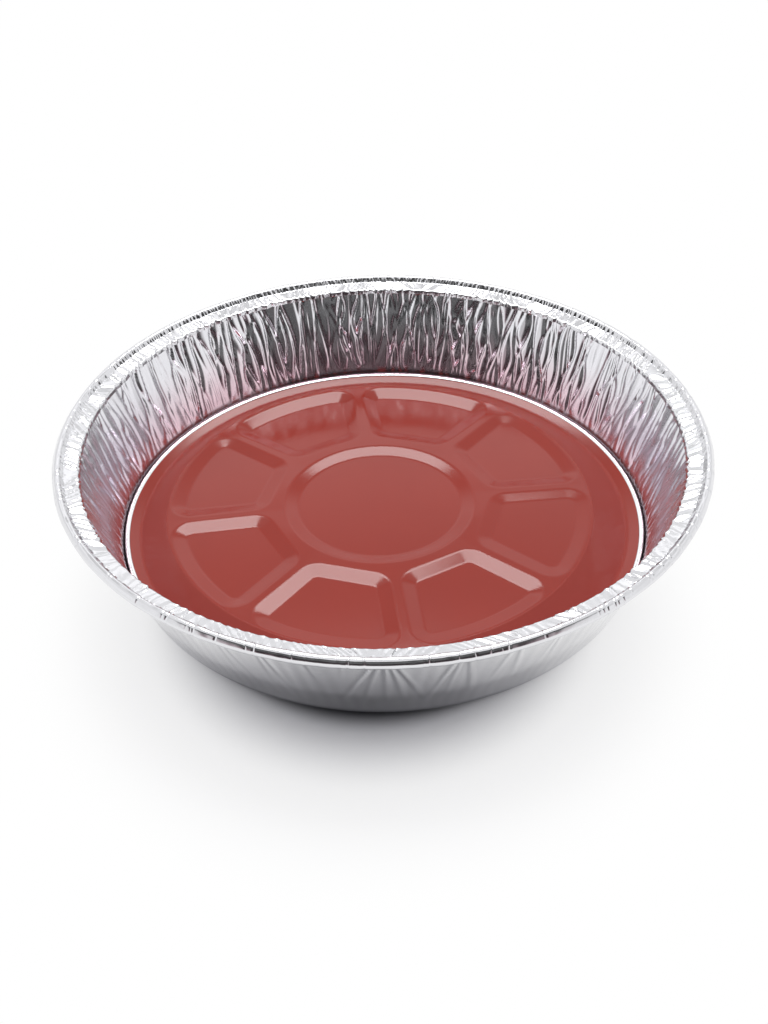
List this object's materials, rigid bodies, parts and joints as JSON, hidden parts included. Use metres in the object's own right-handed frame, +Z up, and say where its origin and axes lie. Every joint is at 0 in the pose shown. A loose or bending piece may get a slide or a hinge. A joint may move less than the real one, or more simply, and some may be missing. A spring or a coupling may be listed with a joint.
{
  "type": "foil tray",
  "caption": "Round tapered foil pan with a gathered wall, pleated ledge and curled rim, holding a loose red embossed floor plate that lifts out.",
  "frame": {"origin": "centre of the pan's flat underside, on the bench", "axes": "+Z up along the pan's axis, +X to the right and +Y away from the viewer of the picture"},
  "size_m": [0.23, 0.23, 0.0475],
  "materials": {
    "base_foil": "smooth bright foil",
    "wall_foil": "bright foil with sharp upright gathers",
    "ledge_foil": "bright foil with radial pleats",
    "bead_foil": "bright curled foil with small crimps",
    "red_lacquer": "glossy baked red lacquer",
    "bare_hem": "bare bright rolled edge"
  },
  "bodies": {
    "pan": {"pan_base": "base_foil", "pan_wall": "wall_foil", "rim_ledge": "ledge_foil", "rim_bead": "bead_foil"},
    "plate": {"floor_plate": "red_lacquer", "plate_hem": "bare_hem"}
  },
  "joints": [
    {"name": "plate_lift", "type": "slide", "parent": "pan", "child": "plate", "axis": [0, 0, 1], "range_m": [0, 0.045]}
  ]
}
